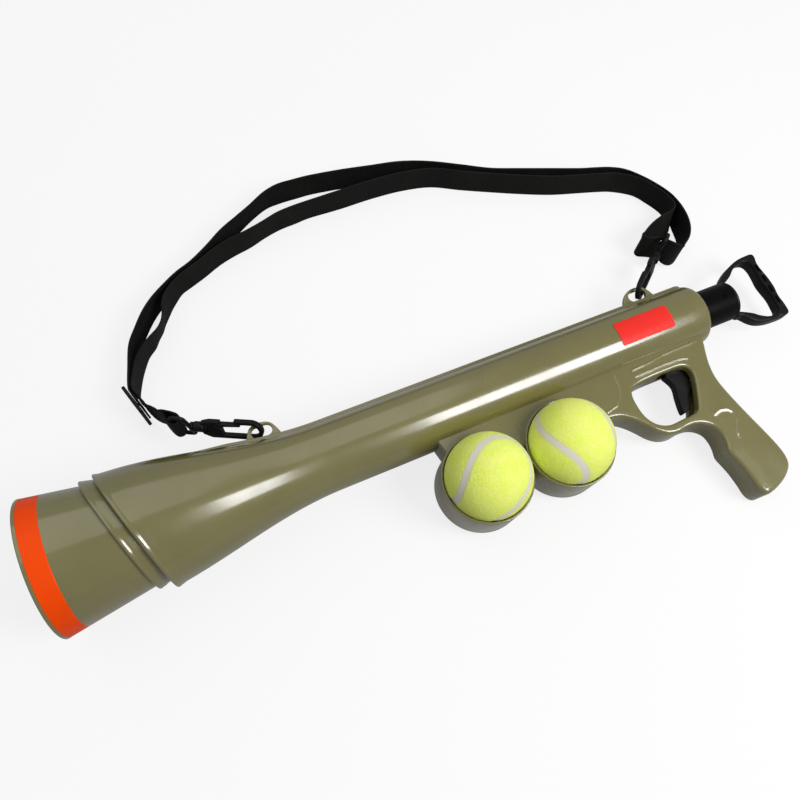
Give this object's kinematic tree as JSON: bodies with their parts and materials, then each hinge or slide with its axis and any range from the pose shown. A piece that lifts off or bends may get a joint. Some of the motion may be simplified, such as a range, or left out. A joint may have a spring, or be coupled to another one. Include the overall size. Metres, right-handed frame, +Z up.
{
  "type": "dog tennis ball launcher",
  "caption": "Spring-driven hand launcher for tennis balls with a flared muzzle, pistol grip, trigger, cocking handle, ball cups and a webbing sling, lying on its side",
  "frame": {"origin": "middle of the part's bounding box on the floor it lies on", "axes": "+X along the barrel from the muzzle to the cocking handle, +Y to the launcher's top side with the sling, +Z up from the floor"},
  "size_m": [0.6034, 0.4085, 0.0979],
  "materials": {
    "olive_shell": "glossy olive moulded plastic",
    "orange_band": "glossy orange",
    "red_label": "plain printed red",
    "black_plastic": "satin black moulded plastic",
    "steel": "plain steel",
    "soft_pad": "soft black rubber",
    "ball_felt": "yellow green felt",
    "webbing": "black ribbed webbing"
  },
  "bodies": {
    "base": {"left_shell": "olive_shell", "right_shell": "olive_shell", "muzzle_cone": "olive_shell", "muzzle_band": "orange_band", "ball_seat": "black_plastic", "case_screws": "steel", "blank_label": "red_label", "main_spring": "steel", "spring_stop": "black_plastic", "rear_bush": "black_plastic", "trigger_pin": "steel", "trigger_spring": "steel", "sear_pin": "steel", "sear_spring": "steel", "front_swivel": "black_plastic", "rear_swivel": "black_plastic", "strap_slider": "black_plastic", "strap_outer": "webbing", "strap_return": "webbing", "strap_front": "webbing"},
    "plunger": {"cocking_tube": "black_plastic", "striker_head": "black_plastic", "striker_pad": "soft_pad", "spring_collar": "black_plastic", "cocking_handle": "black_plastic", "handle_pin": "steel"},
    "trigger_lever": {"trigger": "black_plastic"},
    "sear_lever": {"sear": "black_plastic"},
    "front_ball": {"front_ball": "ball_felt"},
    "rear_ball": {"rear_ball": "ball_felt"},
    "front_hook": {"front_hook": "black_plastic"},
    "front_tongue": {"front_tongue": "black_plastic"},
    "rear_hook": {"rear_hook": "black_plastic"},
    "rear_tongue": {"rear_tongue": "black_plastic"}
  },
  "joints": [
    {"name": "cocking_slide", "type": "slide", "parent": "base", "child": "plunger", "axis": [0.9989, 0, -0.0473], "range_m": [0, 0.12], "stiffness_N_per_m": 300, "springref_m": -0.05, "deforming": ["main_spring"]},
    {"name": "trigger_pull", "type": "hinge", "parent": "base", "child": "trigger_lever", "pos_m": [0.17996, -0.08443, 0.0237], "axis": [0.0472, -0.0764, 0.996], "range_deg": [0, 12], "stiffness_Nm_per_rad": 0.3, "springref_deg": -5.73, "deforming": ["trigger_spring"]},
    {"name": "sear_turn", "type": "hinge", "parent": "base", "child": "sear_lever", "pos_m": [0.10506, -0.08194, 0.02744], "axis": [0.0472, -0.0764, 0.996], "range_deg": [-2.7, 0], "deforming": ["sear_spring"]},
    {"name": "front_ball_lift", "type": "slide", "parent": "base", "child": "front_ball", "axis": [0.0472, -0.0764, 0.996], "range_m": [0, 0.05]},
    {"name": "rear_ball_lift", "type": "slide", "parent": "base", "child": "rear_ball", "axis": [0.0472, -0.0764, 0.996], "range_m": [0, 0.05]},
    {"name": "front_hook_swivel", "type": "hinge", "parent": "base", "child": "front_hook", "pos_m": [-0.17395, 0.00747, 0.03999], "axis": [0.851, -0.5036, 0.1488], "range_deg": [-5, 5]},
    {"name": "front_tongue_bend", "type": "hinge", "parent": "front_hook", "child": "front_tongue", "pos_m": [-0.16129, 0.00184, 0.04598], "axis": [-0.5194, -0.7658, 0.3792], "range_deg": [-18, 0], "stiffness_Nm_per_rad": 0.05, "springref_deg": 2.86},
    {"name": "rear_hook_swivel", "type": "hinge", "parent": "base", "child": "rear_hook", "pos_m": [0.2242, 0.00802, 0.02312], "axis": [-0.781, -0.5988, 0.1774], "range_deg": [-5, 5]},
    {"name": "rear_tongue_bend", "type": "hinge", "parent": "rear_hook", "child": "rear_tongue", "pos_m": [0.21257, 0.00089, 0.02958], "axis": [-0.6202, 0.7102, -0.3331], "range_deg": [-18, 0], "stiffness_Nm_per_rad": 0.05, "springref_deg": 2.86}
  ],
  "couplings": [
    {"joint": "sear_turn", "follows": "trigger_pull", "ratio": -0.22}
  ]
}
